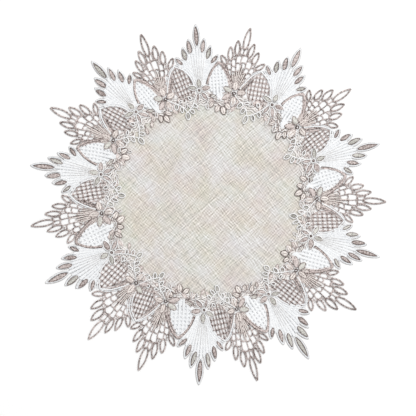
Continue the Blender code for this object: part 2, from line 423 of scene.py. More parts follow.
def cord_on(index, places, cord, shade=None, closed=False):
    """A cord through places that are given across and along the axis of one point."""
    widths = cord.half_width
    if not isinstance(widths, (list, tuple)):
        widths = [widths] * len(places)
    points = []
    for (x, y), width in zip(places, widths):
        radius = math.hypot(x, y)
        laid = lay(index + math.degrees(math.atan2(x, y)) / PITCH, radius)
        points.append((*laid, bed(radius) + cord.lift, width))
    return Thread(points, picked(cord.shades) if shade is None else shade, closed)


def cord_tree():
    """Geometry Nodes that turn charted paths into smooth, flattened, stitched cords."""
    tree = bpy.data.node_groups.new("satin_cords", "GeometryNodeTree")
    tree.is_modifier = True
    for name, kind in (
        ("Paths", "Geometry"),
        ("Stitch", "Float"),
        ("Flatness", "Float"),
        ("Ridge", "Float"),
        ("Sides", "Int"),
        ("Thread", "Material"),
    ):
        tree.interface.new_socket(name, in_out="INPUT", socket_type="NodeSocket" + kind)
    tree.interface.new_socket("Cords", in_out="OUTPUT", socket_type="NodeSocketGeometry")
    sizes = add_node(tree, "NodeGroupInput").outputs
    paths = add_node(tree, "GeometryNodeMeshToCurve", {"Mesh": sizes["Paths"]})
    smooth = add_node(
        tree, "GeometryNodeCurveSplineType", {"Curve": paths.outputs["Curve"]}, spline_type="CATMULL_ROM"
    )
    stitched = add_node(
        tree,
        "GeometryNodeResampleCurve",
        {"Curve": smooth.outputs["Curve"], "Length": sizes["Stitch"]},
        mode="LENGTH",
    )
    upright = add_node(
        tree, "GeometryNodeSetCurveNormal", {"Curve": stitched.outputs["Curve"]}, mode="Z_UP"
    )
    along = add_node(tree, "GeometryNodeSplineParameter").outputs
    odd = add_node(tree, "ShaderNodeMath", {0: along["Index"], 1: 2.0}, operation="MODULO").outputs[0]
    cut = add_node(tree, "ShaderNodeMath", {0: odd, 1: sizes["Ridge"]}, operation="MULTIPLY").outputs[0]
    kept = add_node(tree, "ShaderNodeMath", {0: 1.0, 1: cut}, operation="SUBTRACT").outputs[0]
    width = add_node(tree, "GeometryNodeInputNamedAttribute", {"Name": "half_width"}, data_type="FLOAT")
    ridged = add_node(
        tree, "ShaderNodeMath", {0: width.outputs["Attribute"], 1: kept}, operation="MULTIPLY"
    )
    measured = add_node(
        tree,
        "GeometryNodeStoreNamedAttribute",
        {"Geometry": upright.outputs["Curve"], "Name": "along", "Value": along["Length"]},
        data_type="FLOAT",
    )
    circle = add_node(
        tree, "GeometryNodeCurvePrimitiveCircle", {"Resolution": sizes["Sides"], "Radius": 1.0}
    )
    flat_scale = add_node(tree, "ShaderNodeCombineXYZ", {"X": 1.0, "Y": sizes["Flatness"], "Z": 1.0})
    section = add_node(
        tree,
        "GeometryNodeTransform",
        {"Geometry": circle.outputs["Curve"], "Scale": flat_scale.outputs["Vector"]},
    )
    around = add_node(tree, "GeometryNodeSplineParameter")
    marked = add_node(
        tree,
        "GeometryNodeStoreNamedAttribute",
        {"Geometry": section.outputs["Geometry"], "Name": "around", "Value": around.outputs["Factor"]},
        data_type="FLOAT",
    )
    body = add_node(
        tree,
        "GeometryNodeCurveToMesh",
        {
            "Curve": measured.outputs["Geometry"],
            "Profile Curve": marked.outputs["Geometry"],
            "Scale": ridged.outputs["Value"],
            "Fill Caps": True,
        },
    )
    soft = add_node(tree, "GeometryNodeSetShadeSmooth", {"Geometry": body.outputs["Mesh"]})
    real = add_node(tree, "GeometryNodeRealizeInstances", {"Geometry": soft.outputs["Geometry"]})
    dyed = add_node(
        tree,
        "GeometryNodeSetMaterial",
        {"Geometry": real.outputs["Geometry"], "Material": sizes["Thread"]},
    )
    add_node(tree, "NodeGroupOutput", {"Cords": dyed.outputs["Geometry"]})
    return tree


SATIN_CORDS = cord_tree()


def work_cords(name, threads, material, stitch=0.9, flatness=0.6, ridge=0.08, sides=6):
    """One piece of all the threads, through the satin cord nodes. stitch is its length in mm."""
    places = []
    edges = []
    half_widths = []
    shades = []
    for thread in threads:
        start = len(places)
        for x, y, z, half_width in thread.points:
            places.append((x * MM, y * MM, z * MM))
            half_widths.append(half_width * MM)
            shades.append(thread.shade)
        edges += [(number, number + 1) for number in range(start, len(places) - 1)]
        if thread.closed:
            edges.append((len(places) - 1, start))
    path_mesh = bpy.data.meshes.new(name + "_paths")
    path_mesh.from_pydata(places, edges, [])
    path_mesh.attributes.new("half_width", "FLOAT", "POINT").data.foreach_set("value", half_widths)
    path_mesh.attributes.new("shade", "FLOAT", "POINT").data.foreach_set("value", shades)
    piece = bpy.data.objects.new(name, path_mesh)
    bpy.context.scene.collection.objects.link(piece)
    modifier = piece.modifiers.new("satin cords", "NODES")
    modifier.node_group = SATIN_CORDS
    given = {
        "Stitch": stitch * MM,
        "Flatness": flatness,
        "Ridge": ridge,
        "Sides": sides,
        "Thread": material,
    }
    for item in SATIN_CORDS.interface.items_tree:
        if item.name in given:
            modifier[item.identifier] = given[item.name]
    piece.update_tag()
    bpy.context.view_layer.update()
    graph = bpy.context.evaluated_depsgraph_get()
    solid_mesh = bpy.data.meshes.new_from_object(
        piece.evaluated_get(graph), preserve_all_data_layers=True, depsgraph=graph
    )
    solid_mesh.name = name
    piece.modifiers.remove(modifier)
    piece.data = solid_mesh
    bpy.data.meshes.remove(path_mesh)
    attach(piece, "root")
    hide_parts("lace_border")


MOTTLE_SIZE = 1.7  # patches where stitches bunch, drawn larger than they are so that they show


def thread_material(name, deep, pale, roughness, mottle=0.3, stitch=0.45, rim=0.4):
    """Embroidery thread laid side by side across a cord. The shade of each cord picks its colour between
    deep and pale. Painted shade pushes the colour towards deep where the cord turns down at its two
    sides, by rim, and darkens it in the hollow between two stitches."""
    material = bpy.data.materials.new(name)
    material.use_nodes = True
    tree = material.node_tree
    shader = tree.nodes["Principled BSDF"]
    shade = add_node(tree, "ShaderNodeAttribute", attribute_name="shade").outputs["Fac"]
    along = add_node(tree, "ShaderNodeAttribute", attribute_name="along").outputs["Fac"]
    around = add_node(tree, "ShaderNodeAttribute", attribute_name="around").outputs["Fac"]
    coordinates = add_node(tree, "ShaderNodeTexCoord").outputs["Object"]
    patches = add_node(
        tree,
        "ShaderNodeTexNoise",
        {"Vector": coordinates, "Scale": 1 / (MOTTLE_SIZE * MM), "Detail": 1.0, "Roughness": 0.6},
    ).outputs["Fac"]
    patch_share = add_node(
        tree,
        "ShaderNodeMapRange",
        {"Value": patches, "From Min": 0.3, "From Max": 0.7, "To Min": -mottle, "To Max": mottle},
    ).outputs["Result"]
    turned = add_node(tree, "ShaderNodeMath", {0: around, 1: math.tau}, operation="MULTIPLY").outputs[0]
    height = add_node(tree, "ShaderNodeMath", {0: turned}, operation="SINE").outputs[0]
    slope = add_node(tree, "ShaderNodeMath", {0: height}, operation="ABSOLUTE").outputs[0]
    # Painted shade: the colour goes towards deep where the cord turns down at its two sides
    painted_side_shade = add_node(
        tree,
        "ShaderNodeMapRange",
        {"Value": slope, "From Min": 0.0, "From Max": 0.75, "To Min": -rim, "To Max": 0.0},
    ).outputs["Result"]
    shifts = add_node(tree, "ShaderNodeMath", {0: painted_side_shade, 1: patch_share}, operation="ADD")
    share = add_node(
        tree, "ShaderNodeMath", {0: shade, 1: shifts.outputs[0]}, operation="ADD", use_clamp=True
    )
    phase = add_node(
        tree,
        "ShaderNodeMath",
        {0: along, 1: math.tau / (stitch * MM), 2: turned},
        operation="MULTIPLY_ADD",
    )
    wave = add_node(tree, "ShaderNodeMath", {0: phase.outputs[0]}, operation="SINE").outputs[0]
    # Painted shade: the colour is darker in the hollow between two stitches
    painted_stitch_shade = add_node(
        tree,
        "ShaderNodeMapRange",
        {"Value": wave, "From Min": -1.0, "From Max": 0.2, "To Min": 0.86, "To Max": 1.0},
    )
    dyed = add_node(
        tree, "ShaderNodeMixRGB", {"Fac": share.outputs[0], "Color1": deep, "Color2": pale}
    )
    shaded = add_node(
        tree,
        "ShaderNodeMixRGB",
        {"Fac": 1.0, "Color1": dyed.outputs["Color"], "Color2": painted_stitch_shade.outputs["Result"]},
        blend_type="MULTIPLY",
    )
    bump = add_node(tree, "ShaderNodeBump", {"Height": wave, "Strength": 0.5, "Distance": 0.1 * MM})
    tree.links.new(shaded.outputs["Color"], shader.inputs["Base Color"])
    tree.links.new(bump.outputs["Normal"], shader.inputs["Normal"])
    shader.inputs["Roughness"].default_value = roughness
    shader.inputs["Specular IOR Level"].default_value = 0.35
    shader.inputs["Sheen Weight"].default_value = 0.1
    return material


# Bleached cotton: white with a soft shine. Its deep colour is a little cool, and the painted shade at a
# cord's sides picks it
WHITE_COTTON = thread_material(
    "bleached_cotton_thread", linear("dadde2"), linear("fbfcfd"), roughness=0.6, rim=0.3
)
# The same cotton worked thinly as a fine ground under the nets. It is a little greyer than the cords,
# which paints the shade seen in the gaps of the net
FINE_GROUND_WITH_SHADE = thread_material(
    "fine_cotton_ground_and_painted_shade", linear("e6e8ec"), linear("fafbfd"), roughness=0.8, stitch=1.1, rim=0.0
)
# The same cotton in the thick cords of flowers and sprays, and in grey cords that paint its shadow
# between ribs and outside cords. Its deeper grey is painted shade where a cord turns away, which draws
# the outline of each cord
EDGE_AND_SHADOW_COTTON = thread_material(
    "bleached_cotton_cord_and_painted_shade", linear("c9c5c3"), linear("fefefe"), roughness=0.6, mottle=0.35, rim=0.3
)

FAN_APEX_Y = 113.0
FAN_FOOT_R = 16.0
RIB_ANGLE = 3.7
# Length of each rib from the apex, from the middle one out
RIB_LENGTHS = (60.0, 58.0, 55.5, 53.5, 51.5, 49.5, 47.5, 46.0, 45.0)
# Where the outer ribs begin, beside the lattice leaf on the left and beside the arch on the right
RIB_STARTS = {-8: 40.0, -7: 34.0, -6: 28.0, -5: 22.0, 8: 33.0}
RIB_SHARES = (0, 0.3, 0.65, 1)
RIB_CORD = Cord((0.7, 1.25, 1.7, 2.0), 0.65, (0.75, 0.9))
RIB_SHADE_ERROR = 0.15
GROUND_CORD = Cord((1.1, 1.9, 3.0, 3.6), 0.25, (0.4, 1.0))
# Grey cords in the hollows between the middle ribs, which run out half way up, paint the shade there
HOLLOW_NUMBERS = range(-3, 3)
HOLLOW_STOPS = (19.0, 28.0, 37.0, 46.0)
PAINTED_HOLLOW_SHADE_CORD = Cord((0.4, 0.4, 0.3, 0.15), 0.9, 0.5)
TIE_PITCH = 3.9
TIE_ERROR = 0.4
TIE_CORD = Cord(0.55, 0.8, RIB_CORD.shades)


def fan_place(angle, reach, apex_y):
    """A place on a rib that leaves the apex at an angle from the point's axis."""
    turn = math.radians(angle)
    return reach * math.sin(turn), apex_y + reach * math.cos(turn)


ties = random.Random(11)
rib_numbers = range(1 - len(RIB_LENGTHS), len(RIB_LENGTHS))
net_threads = []
ground = []
painted_hollow_shades = []
for index in SOLID_POINTS:
    shade = ties.uniform(*RIB_CORD.shades)
    for number in rib_numbers:
        start = RIB_STARTS.get(number, FAN_FOOT_R)
        stops = [mix(start, RIB_LENGTHS[abs(number)], share) for share in RIB_SHARES]
        rib = [fan_place(number * RIB_ANGLE, stop, FAN_APEX_Y) for stop in stops]
        rib_shade = shade + ties.uniform(-RIB_SHADE_ERROR, RIB_SHADE_ERROR)
        net_threads.append(cord_on(index, rib, RIB_CORD, rib_shade))
        if number % 2:
            ground.append(cord_on(index, rib, GROUND_CORD, ties.uniform(*GROUND_CORD.shades)))
    for number in HOLLOW_NUMBERS:
        line = [fan_place((number + 0.5) * RIB_ANGLE, stop, FAN_APEX_Y) for stop in HOLLOW_STOPS]
        painted_hollow_shades.append(cord_on(index, line, PAINTED_HOLLOW_SHADE_CORD))
    reach = FAN_FOOT_R + 2 * TIE_PITCH
    while reach < RIB_LENGTHS[0]:
        row = []
        for number in rib_numbers:
            if RIB_STARTS.get(number, 0.0) < reach < RIB_LENGTHS[abs(number)]:
                tied = reach + ties.uniform(-TIE_ERROR, TIE_ERROR)
                row.append(fan_place(number * RIB_ANGLE, tied, FAN_APEX_Y))
        if len(row) > 1:
            net_threads.append(cord_on(index, row, TIE_CORD, shade))
        reach += TIE_PITCH
work_cords("white_fan_nets", net_threads, WHITE_COTTON, stitch=1.5, flatness=0.14)
work_cords("white_fan_painted_hollow_shades", painted_hollow_shades, EDGE_AND_SHADOW_COTTON, stitch=1.5, flatness=0.14)
work_cords("white_fan_grounds", ground, FINE_GROUND_WITH_SHADE, stitch=3.0, flatness=0.06, ridge=0.0)

# --- White cords round the solid petals -------------------------------------------------------------
# Each petal of a solid point is edged with a white satin-stitched cord, which reaches past the petal's
# tip. A thin grey cord follows it outside and paints its shadow.

Leaf = namedtuple("Leaf", "base_x base_y tip_x tip_y width")
# The middle petal and the three to its right
CORD_PETALS = (
    Leaf(0.0, 172.5, 0.0, 200.0, 7.8),
    Leaf(5.8, 164.5, 9.8, 183.0, 7.0),
    Leaf(12.0, 156.5, 16.7, 174.0, 6.8),
    Leaf(16.2, 151.3, 25.4, 162.0, 6.2),
)
PETAL_CORD = Cord(0.72, 0.75, (0.6, 0.95))
PAINTED_SHADOW_CORD = Cord(0.35, 0.4, 0.1)
SHADOW_WIDER = 1.0
SHADOW_LONGER = 0.5
EDGE_SHARES = (0.05, 0.16, 0.34, 0.55, 0.76, 0.92)


def mirrored(leaf):
    return leaf._replace(base_x=-leaf.base_x, tip_x=-leaf.tip_x)


def both_sides(leaf):
    """The leaf and its mirror image, or the leaf alone where it lies on the point's axis."""
    return (leaf, mirrored(leaf)) if leaf.tip_x else (leaf,)


def leaf_half(leaf, along):
    """Half the width of a leaf or petal, which is widest a little short of its middle."""
    return leaf.width / 2 * math.sin(math.pi * along**0.85) ** 0.65


def leaf_place(leaf, along, side=0, inset=0.0):
    """A place on the middle line of a leaf or petal, or on one of its long edges."""
    length = math.hypot(leaf.tip_x - leaf.base_x, leaf.tip_y - leaf.base_y)
    across_x = (leaf.tip_y - leaf.base_y) / length
    across_y = -(leaf.tip_x - leaf.base_x) / length
    half = max(leaf_half(leaf, along) - inset, 0.0)
    x = mix(leaf.base_x, leaf.tip_x, along) + side * half * across_x
    y = mix(leaf.base_y, leaf.tip_y, along) + side * half * across_y
    return x, y


def leaf_edge(index, leaf, cord, shade=None):
    """A cord round a leaf, from its tip down one side and up the other."""
    half_width = cord.half_width
    inset = half_width / math.hypot(leaf.tip_x - leaf.base_x, leaf.tip_y - leaf.base_y)
    places = [leaf_place(leaf, 1 - inset)]
    places += [leaf_place(leaf, along, -1, half_width) for along in reversed(EDGE_SHARES)]
    places.append(leaf_place(leaf, inset))
    places += [leaf_place(leaf, along, 1, half_width) for along in EDGE_SHARES]
    places.append(leaf_place(leaf, 1 - inset))
    return cord_on(index, places, cord, shade)


def worked(leaf, slip=0.35, width_share=0.06):
    """The leaf as one repeat shows it, a little off its chart."""
    return Leaf(
        leaf.base_x + error(slip),
        leaf.base_y + error(slip),
        leaf.tip_x + error(slip),
        leaf.tip_y + error(slip) / 2,
        leaf.width * hands.uniform(1 - width_share, 1 + width_share),
    )


threads = []
painted_shadows = []
for index in SOLID_POINTS:
    for leaf in CORD_PETALS:
        for chart in both_sides(leaf):
            shape = worked(chart)
            threads.append(leaf_edge(index, shape, PETAL_CORD))
            around = shape._replace(
                width=shape.width + SHADOW_WIDER, tip_y=shape.tip_y + SHADOW_LONGER
            )
            painted_shadows.append(leaf_edge(index, around, PAINTED_SHADOW_CORD))
work_cords("white_petal_cords", threads, WHITE_COTTON)
work_cords("white_petal_painted_shadows", painted_shadows, EDGE_AND_SHADOW_COTTON, stitch=1.2)

# --- Satin petals of the solid points ---------------------------------------------------------------
# The seven petals are filled with taupe or grey-green satin stitch, worked across over padding, so they
# stand up in the middle. A darker cord of the same thread round each petal paints the shade at its edges.

SATIN_PETALS = (
    Leaf(-0.3, 174.6, -0.2, 197.2, 5.2),
    Leaf(5.2, 166.2, 9.2, 181.2, 4.9),
    Leaf(-7.2, 166.2, -10.4, 181.2, 4.9),
    Leaf(10.9, 158.8, 15.6, 171.4, 4.7),
    Leaf(-13.6, 158.4, -17.6, 171.4, 4.7),
    Leaf(15.6, 153.4, 23.9, 161.2, 3.9),
    Leaf(-17.6, 153.2, -25.4, 160.8, 3.9),
)
# What lies inside a leaf: how far in from its outline, its height, and its shade or range of shades
Fill = namedtuple("Fill", "inset lift shades")
PETAL_FILL = Fill(0.2, 0.95, (0.45, 0.75))
PETAL_EDGE_SHADE_CORD = Cord(0.45, 1.05, None)
PETAL_EDGE_PAINTED_SHADE = 0.5
GREEN_SHARE = 0.3  # about a third of the petals are worked in the grey-green thread
FILL_SHARES = (0.02, 0.10, 0.24, 0.42, 0.62, 0.82, 0.98)
LEAST_FILL = 0.2
PADDED_SATIN = {"stitch": 0.5, "ridge": 0.02, "sides": 10}
# Rayon thread in taupe: brighter than cotton along its stitches
TAUPE_RAYON = thread_material(
    "taupe_rayon_thread", linear("6a5853"), linear("e4d8d4"), roughness=0.42, mottle=0.45, rim=0.5
)
# Rayon dyed grey-green: as bright along its stitches as the taupe
GREY_GREEN_RAYON = thread_material(
    "grey_green_rayon_thread", linear("6f6c65"), linear("ebe9e2"), roughness=0.45, rim=0.5
)


def leaf_fill(index, leaf, fill, shade=None):
    """The satin filling of a leaf: one wide flat cord along its middle."""
    places = [leaf_place(leaf, along) for along in FILL_SHARES]
    halves = [max(leaf_half(leaf, along) - fill.inset, LEAST_FILL) for along in FILL_SHARES]
    return cord_on(index, places, Cord(halves, fill.lift, fill.shades), shade)


taupe = []
green = []
edges = []
for index in SOLID_POINTS:
    for leaf in SATIN_PETALS:
        shape = worked(leaf)
        shade = picked(PETAL_FILL.shades)
        colour = green if hands.random() < GREEN_SHARE else taupe
        colour.append(leaf_fill(index, shape, PETAL_FILL, shade))
        edges.append(leaf_edge(index, shape, PETAL_EDGE_SHADE_CORD, shade - PETAL_EDGE_PAINTED_SHADE))
work_cords("satin_petals", taupe, TAUPE_RAYON, flatness=0.2, **PADDED_SATIN)
work_cords("green_satin_petals", green, GREY_GREEN_RAYON, flatness=0.2, **PADDED_SATIN)
work_cords("satin_petal_painted_edge_shades", edges, TAUPE_RAYON, flatness=0.8, sides=5)

# --- Open petals and their net ----------------------------------------------------------------------
# The open points are worked in taupe cord alone: seven empty petals on a net of ribs that spread
# from the foot, tied across so that the cells near the petals are the largest.

OPEN_PETALS = (
    Leaf(0.0, 172.5, 0.0, 200.0, 7.8),
    Leaf(6.8, 165.0, 9.7, 183.3, 7.4),
    Leaf(12.6, 158.0, 16.9, 174.3, 7.2),
    Leaf(16.4, 152.4, 26.0, 162.3, 6.4),
)
OPEN_PETAL_CORD = Cord(0.8, 0.8, (0.35, 0.6))
NET_APEX_Y = 118.0
NET_FOOT_R = 15.0
Rib = namedtuple("Rib", "angle length")
NET_RIBS = (Rib(0.0, 50.5), Rib(8.2, 47.5), Rib(17.2, 41.9), Rib(25.4, 37.8), Rib(31.5, 36.5))
NET_RIB_SHARES = (0.7, 0.85, 1.0)
NET_RIB_ERROR = 1.1  # degrees
NET_RIB_CORD = Cord((0.3, 0.5, 0.55, 0.55), 0.7, (0.35, 0.75))
# Shares of the ribs' length at which they are tied, outermost first, for the gaps from the middle out
NET_TIES = (
    (0.98, 0.79, 0.60, 0.46, 0.36),
    (0.96, 0.78, 0.63, 0.50, 0.40),
    (0.95, 0.76, 0.60, 0.47, 0.38),
    (0.97, 0.78, 0.62, 0.48, 0.40),
)
NET_TIE_ERROR = 0.02
NET_TIE_BOW = 1.3
NET_TIE_SLANT = 1.0
NET_TIE_CORD = Cord((0.95, 0.5, 0.95), 0.7, (0.35, 0.75))  # thick at the ribs, which rounds the cells
# The gaps between neighbouring petals, which strands fill as far as the petals touch
MIDDLE_GAP = Leaf(3.4, 166.0, 4.0, 177.4, 3.2)
MIDDLE_GAP_SHARES = (0.02, 0.3, 0.6, 0.95)
MIDDLE_GAP_STRAND = Cord(0.4, 0.6, (0.4, 1.0))
OUTER_GAPS = (
    Leaf(9.4, 160.0, 11.0, 169.2, 3.0),
    Leaf(14.4, 153.6, 18.4, 160.6, 2.8),
)
OUTER_GAP_SHARES = (0.02, 0.25, 0.5, 0.8)
OUTER_GAP_STRAND = Cord(0.35, 0.6, (0.5, 1.1))
OUTER_GAP_TIE_SHARE = 0.4
OUTER_GAP_TIE_SIDES = (-1.3, 0, 1.3)
OUTER_GAP_TIE = Cord(0.35, 0.7, (0.2, 0.8))
# The strand that holds the middle petal, and its ties to the petals beside it
MIDDLE_STRAND = ((0.0, 167.0), (0.0, 170.0), (0.0, 173.2))
MIDDLE_STRAND_CORD = Cord(0.5, 0.7, 0.5)
MIDDLE_TIES = (
    ((-4.6, 175.4), (0.0, 175.0), (4.6, 175.4)),
    ((-5.6, 168.0), (0.0, 167.6), (5.6, 168.0)),
)
MIDDLE_TIE_CORD = Cord(0.45, 0.7, 0.6)
# Matt taupe cotton cord, darker than the satin
TAUPE_COTTON = thread_material(
    "taupe_cotton_cord", linear("5b4a45"), linear("e9dbd7"), roughness=0.7, mottle=0.45, rim=0.35
)

threads = []
for index in OPEN_POINTS:
    for leaf in OPEN_PETALS:
        for chart in both_sides(leaf):
            shade = picked(OPEN_PETAL_CORD.shades)
            threads.append(leaf_edge(index, worked(chart), OPEN_PETAL_CORD, shade))
    for side in (-1, 1):
        for rib in NET_RIBS:
            if side < 0 and rib in (NET_RIBS[0], NET_RIBS[-1]):  # the arch takes the last one's place
                continue
            stops = [NET_FOOT_R, *(rib.length * share for share in NET_RIB_SHARES)]
            angles = [side * (rib.angle + error(NET_RIB_ERROR)) for _ in stops]
            places = [fan_place(angle, stop, NET_APEX_Y) for angle, stop in zip(angles, stops)]
            threads.append(cord_on(index, places, NET_RIB_CORD))
        for near, far, shares in zip(NET_RIBS, NET_RIBS[1:], NET_TIES):
            for share in shares:
                out = (share + error(NET_TIE_ERROR)) * (near.length + far.length) / 2
                turns = (near.angle, (near.angle + far.angle) / 2, far.angle)
                bows = (0.0, NET_TIE_BOW, error(NET_TIE_SLANT))
                places = [fan_place(side * turn, out + bow, NET_APEX_Y) for turn, bow in zip(turns, bows)]
                threads.append(cord_on(index, places, NET_TIE_CORD))
    for gap in both_sides(MIDDLE_GAP):
        places = [leaf_place(gap, along) for along in MIDDLE_GAP_SHARES]
        threads.append(cord_on(index, places, MIDDLE_GAP_STRAND))
    for gap in (*OUTER_GAPS, *(mirrored(gap) for gap in OUTER_GAPS)):
        for side in (-1, 1):
            places = [leaf_place(gap, along, side) for along in OUTER_GAP_SHARES]
            threads.append(cord_on(index, places, OUTER_GAP_STRAND))
        places = [leaf_place(gap, OUTER_GAP_TIE_SHARE, side) for side in OUTER_GAP_TIE_SIDES]
        threads.append(cord_on(index, places, OUTER_GAP_TIE))
    threads.append(cord_on(index, MIDDLE_STRAND, MIDDLE_STRAND_CORD))
    threads += [cord_on(index, tie, MIDDLE_TIE_CORD) for tie in MIDDLE_TIES]
work_cords("open_petals_and_net", threads, TAUPE_COTTON)

# --- Satin feet of the open points ------------------------------------------------------------------
# Where the ribs run together at the flower, long stitches in beige and taupe spread between them
# like a fan, the middle ones the longest.

STROKES = range(-7, 8)
STROKE_ANGLE = 4.5
STROKE_ANGLE_ERROR = 0.8
STROKE_FOOT_R = 8.5
STROKE_FOOT_STEP = 0.4  # the outer ones start a little farther out
STROKE_WAIST_R = 14.0
STROKE_KNEE = 0.6  # where it bends, as a share of the way from its waist to its end
STROKE_MIDDLE_R = 38.0
STROKE_SIDE_R = 19.0
STROKE_SIDE_ANGLE = 24.0
STROKE_LENGTH_ERROR = 3.0
BEIGE_STROKE = Cord((0.45, 0.6, 0.6, 0.3), 0.75, (0.9, 1.4))
TAUPE_STROKE = Cord((0.25, 0.35, 0.4, 0.3), 0.95, (0.0, 0.6))
TAUPE_STROKE_TURN = 2.2
TAUPE_STROKE_SHORTER = 1.0
# Rayon in beige, the palest of the coloured threads: a soft shine along the stitches
BEIGE_RAYON = thread_material(
    "beige_rayon_thread", linear("9d8b85"), linear("fbf3ed"), roughness=0.45
)
beige = []
taupe = []
for index in OPEN_POINTS:
    for stroke in STROKES:
        angle = stroke * STROKE_ANGLE + error(STROKE_ANGLE_ERROR)
        sideways = min(abs(angle) / STROKE_SIDE_ANGLE, 1.0)
        longest = mix(STROKE_MIDDLE_R, STROKE_SIDE_R, sideways) + error(STROKE_LENGTH_ERROR)
        foot = STROKE_FOOT_R + abs(stroke) * STROKE_FOOT_STEP
        reaches = (foot, STROKE_WAIST_R, mix(STROKE_WAIST_R, longest, STROKE_KNEE), longest)
        places = [fan_place(angle, reach, NET_APEX_Y) for reach in reaches]
        beige.append(cord_on(index, places, BEIGE_STROKE))
        turned = angle + TAUPE_STROKE_TURN
        places = [fan_place(turned, reach - TAUPE_STROKE_SHORTER, NET_APEX_Y) for reach in reaches]
        taupe.append(cord_on(index, places, TAUPE_STROKE))
work_cords("beige_fan_strokes", beige, BEIGE_RAYON)
work_cords("taupe_fan_strokes", taupe, TAUPE_COTTON)

# --- Arches over the white leaves -------------------------------------------------------------------
# A thick taupe cord arches over each white leaf, from one flower to the next. A thin dark thread
# follows it outside, and a second cord lies along its far leg.

ARCH = (
    (9.5, 129.5),
    (12.0, 136.8),
    (15.4, 143.4),
    (19.8, 149.0),
    (24.9, 152.8),
    (29.3, 149.2),
    (32.8, 144.0),
    (35.4, 137.5),
    (37.6, 130.5),
    (39.0, 126.5),
)
ARCH_CORD = Cord((0.9, 1.05, 1.2, 1.45, 1.6, 1.5, 1.35, 1.2, 1.1, 1.0), 0.8, (0.55, 0.8))
ARCH_MIDDLE_X = 24.5
ARCH_SPREAD = 0.07
ARCH_RISE = 0.6
ARCH_OUTSIDE = [(x + (x - ARCH_MIDDLE_X) * ARCH_SPREAD, y + ARCH_RISE) for x, y in ARCH]
ARCH_OUTSIDE_CORD = Cord(0.55, 1.0, (0.0, 0.2))
ARCH_INNER = ((27.6, 147.6), (31.0, 142.6), (33.4, 136.6), (35.2, 130.6), (36.2, 126.0))
ARCH_INNER_CORD = Cord(0.7, 0.7, (0.5, 0.9))
threads = []
for index in SOLID_POINTS:
    threads.append(cord_on(index, ARCH, ARCH_CORD))
    threads.append(cord_on(index, ARCH_INNER, ARCH_INNER_CORD))
    threads.append(cord_on(index, ARCH_OUTSIDE, ARCH_OUTSIDE_CORD))
work_cords("leaf_arch_cords", threads, TAUPE_COTTON)

# --- White leaves -----------------------------------------------------------------------------------
# Under each arch lies a leaf of square white net over a fine ground, with a solid satin tip that
# points to the linen.

LEAF_MIDDLE_X = 23.0
LEAF_FOOT_Y = 109.0
LEAF_APEX_Y = 151.0
LEAF_HALF_WIDTH = 11.7
LEAF_NET_PITCH = 4.0
LEAF_NET_FOOT_Y = 114.0
LEAF_ROW_REACHES = (-1, -0.5, 0, 0.5, 1)
LEAF_ROW_SAG = 0.3
LEAST_LEAF_REACH = 1.5
LEAF_COLUMNS = range(-2, 4)
LEAF_HEIGHTS = range(112, 150)
LEAST_COLUMN = 3
LEAF_NET_SHADES = (0.75, 1.0)
LEAF_ROW_CORD = Cord(1.75, 0.5, LEAF_NET_SHADES)
LEAF_COLUMN_CORD = Cord(1.65, 0.6, LEAF_NET_SHADES)
LEAF_GROUND_LEVELS = [LEAF_FOOT_Y + 2.0 + step * 4.2 for step in range(10)]
LEAF_TIP = Leaf(24.0, 120.0, 24.4, 108.5, 9.5)
LEAF_TIP_ERROR = 2.5
LEAF_TIP_FILL = Fill(0.0, 0.6, 0.9)


def leaf_reach(y):
    """Half the width of the white leaf at a height."""
    share = min(max((y - LEAF_FOOT_Y) / (LEAF_APEX_Y - LEAF_FOOT_Y), 0.0), 1.0)
    return LEAF_HALF_WIDTH * math.sin(math.pi * share) ** 0.85


threads = []
for index in SOLID_POINTS:
    shade = picked(LEAF_NET_SHADES)
    for row in range(int((LEAF_APEX_Y - LEAF_NET_FOOT_Y) / LEAF_NET_PITCH) + 1):
        y = LEAF_NET_FOOT_Y + row * LEAF_NET_PITCH
        reach = leaf_reach(y)
        if reach > LEAST_LEAF_REACH:
            places = [
                (LEAF_MIDDLE_X + reach * side, y + LEAF_ROW_SAG * abs(side))
                for side in LEAF_ROW_REACHES
            ]
            threads.append(cord_on(index, places, LEAF_ROW_CORD, shade))
    for column in LEAF_COLUMNS:
        x = LEAF_MIDDLE_X + (column - 0.5) * LEAF_NET_PITCH
        inside = [y for y in LEAF_HEIGHTS if leaf_reach(y) > abs(x - LEAF_MIDDLE_X)]
        if len(inside) > LEAST_COLUMN:
            middle = (inside[0] + inside[-1]) / 2
            places = [(x, inside[0]), (x, middle), (x, inside[-1])]
            threads.append(cord_on(index, places, LEAF_COLUMN_CORD, shade))
work_cords("white_leaf_nets", threads, WHITE_COTTON, stitch=1.4, flatness=0.2)

# The fine ground under the leaf's net: its greyer colour paints the shade in the gaps
leaf_ground_cord = Cord([leaf_reach(y) for y in LEAF_GROUND_LEVELS], 0.4, 0.9)
tips = []
ground = []
for index in SOLID_POINTS:
    tip = LEAF_TIP._replace(tip_y=LEAF_TIP.tip_y + error(LEAF_TIP_ERROR))
    tips.append(leaf_fill(index, tip, LEAF_TIP_FILL))
    ground.append(cord_on(index, [(LEAF_MIDDLE_X, y) for y in LEAF_GROUND_LEVELS], leaf_ground_cord))
work_cords("white_leaf_tips", tips, WHITE_COTTON, flatness=0.12, **PADDED_SATIN)
work_cords("white_leaf_grounds", ground, FINE_GROUND_WITH_SHADE, stitch=1.5, flatness=0.01, ridge=0.0, sides=8)

# --- Lattice leaves ---------------------------------------------------------------------------------
# On the other side of each open point is a leaf of taupe lattice, its holes taller than they are
# wide. Single threads run along it, pairs run across, and each crossing is knotted.

